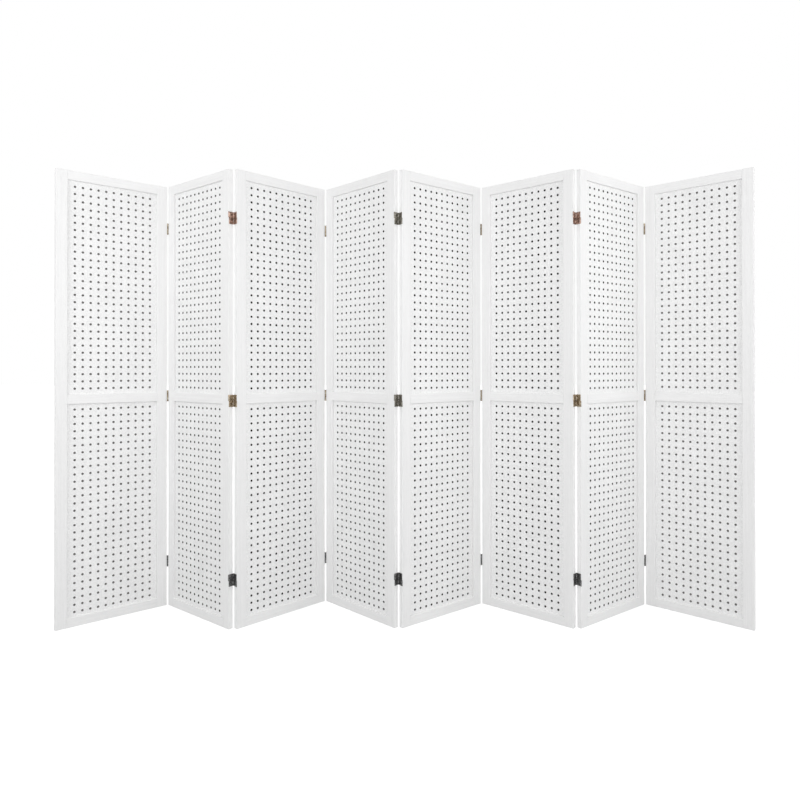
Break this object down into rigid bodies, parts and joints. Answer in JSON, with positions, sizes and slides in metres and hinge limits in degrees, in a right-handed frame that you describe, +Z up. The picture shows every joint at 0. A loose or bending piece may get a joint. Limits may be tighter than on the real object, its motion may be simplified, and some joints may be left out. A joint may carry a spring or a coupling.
{
  "type": "accordion folding partition",
  "caption": "Folding room divider of tall white framed pegboard panels in a row, joined by two-way screen hinges, standing in a zigzag on the floor.",
  "frame": {"origin": "on the floor, under the middle of the screen as it stands in its zigzag", "axes": "+X along the screen from left to right as seen from the front, the front faces -Y, +Z up"},
  "size_m": [2.5832, 0.3168, 1.7],
  "materials": {
    "white_paint": "wood with satin white paint, faint grain showing through",
    "board_paint": "hardboard with matt white paint, finely speckled",
    "aged_brass": "antiqued, dark brown and mottled, semi-gloss"
  },
  "bodies": {
    "panel_1": {"panel_1_frame": "white_paint", "panel_1_pegboards": "board_paint", "hinge_1_2_bottom_left_half": "aged_brass", "hinge_1_2_middle_left_half": "aged_brass", "hinge_1_2_top_left_half": "aged_brass"},
    "panel_2": {"panel_2_frame": "white_paint", "panel_2_pegboards": "board_paint", "hinge_1_2_bottom_right_half": "aged_brass", "hinge_1_2_middle_right_half": "aged_brass", "hinge_1_2_top_right_half": "aged_brass", "hinge_2_3_bottom_left_half": "aged_brass", "hinge_2_3_middle_left_half": "aged_brass", "hinge_2_3_top_left_half": "aged_brass"},
    "panel_3": {"panel_3_frame": "white_paint", "panel_3_pegboards": "board_paint", "hinge_2_3_bottom_right_half": "aged_brass", "hinge_2_3_middle_right_half": "aged_brass", "hinge_2_3_top_right_half": "aged_brass", "hinge_3_4_bottom_left_half": "aged_brass", "hinge_3_4_middle_left_half": "aged_brass", "hinge_3_4_top_left_half": "aged_brass"},
    "panel_4": {"panel_4_frame": "white_paint", "panel_4_pegboards": "board_paint", "hinge_3_4_bottom_right_half": "aged_brass", "hinge_3_4_middle_right_half": "aged_brass", "hinge_3_4_top_right_half": "aged_brass", "hinge_4_5_bottom_left_half": "aged_brass", "hinge_4_5_middle_left_half": "aged_brass", "hinge_4_5_top_left_half": "aged_brass"},
    "panel_5": {"panel_5_frame": "white_paint", "panel_5_pegboards": "board_paint", "hinge_4_5_bottom_right_half": "aged_brass", "hinge_4_5_middle_right_half": "aged_brass", "hinge_4_5_top_right_half": "aged_brass", "hinge_5_6_bottom_left_half": "aged_brass", "hinge_5_6_middle_left_half": "aged_brass", "hinge_5_6_top_left_half": "aged_brass"},
    "panel_6": {"panel_6_frame": "white_paint", "panel_6_pegboards": "board_paint", "hinge_5_6_bottom_right_half": "aged_brass", "hinge_5_6_middle_right_half": "aged_brass", "hinge_5_6_top_right_half": "aged_brass", "hinge_6_7_bottom_left_half": "aged_brass", "hinge_6_7_middle_left_half": "aged_brass", "hinge_6_7_top_left_half": "aged_brass"},
    "panel_7": {"panel_7_frame": "white_paint", "panel_7_pegboards": "board_paint", "hinge_6_7_bottom_right_half": "aged_brass", "hinge_6_7_middle_right_half": "aged_brass", "hinge_6_7_top_right_half": "aged_brass", "hinge_7_8_bottom_left_half": "aged_brass", "hinge_7_8_middle_left_half": "aged_brass", "hinge_7_8_top_left_half": "aged_brass"},
    "panel_8": {"panel_8_frame": "white_paint", "panel_8_pegboards": "board_paint", "hinge_7_8_bottom_right_half": "aged_brass", "hinge_7_8_middle_right_half": "aged_brass", "hinge_7_8_top_right_half": "aged_brass"}
  },
  "joints": [
    {"name": "fold_3_4", "type": "hinge", "parent": "panel_4", "child": "panel_3", "pos_m": [-0.3331, 0.14069, 0.85], "axis": [0, 0, 1], "range_deg": [-88, 92]},
    {"name": "fold_2_3", "type": "hinge", "parent": "panel_3", "child": "panel_2", "pos_m": [-0.6348, -0.1289, 0.85], "axis": [0, 0, -1], "range_deg": [-82.2, 97.8]},
    {"name": "fold_1_2", "type": "hinge", "parent": "panel_2", "child": "panel_1", "pos_m": [-0.9695, 0.09842, 0.85], "axis": [0, 0, 1], "range_deg": [-77, 103]},
    {"name": "fold_4_5", "type": "hinge", "parent": "panel_4", "child": "panel_5", "pos_m": [-0.02308, -0.11929, 0.85], "axis": [0, 0, 1], "range_deg": [-81.2, 98.8]},
    {"name": "fold_5_6", "type": "hinge", "parent": "panel_5", "child": "panel_6", "pos_m": [0.30841, 0.11268, 0.85], "axis": [0, 0, -1], "range_deg": [-76.9, 103.1]},
    {"name": "fold_6_7", "type": "hinge", "parent": "panel_6", "child": "panel_7", "pos_m": [0.63705, -0.12332, 0.85], "axis": [0, 0, 1], "range_deg": [-75.7, 104.3]},
    {"name": "fold_7_8", "type": "hinge", "parent": "panel_7", "child": "panel_8", "pos_m": [0.97333, 0.10165, 0.85], "axis": [0, 0, -1], "range_deg": [-77.5, 102.5]}
  ]
}
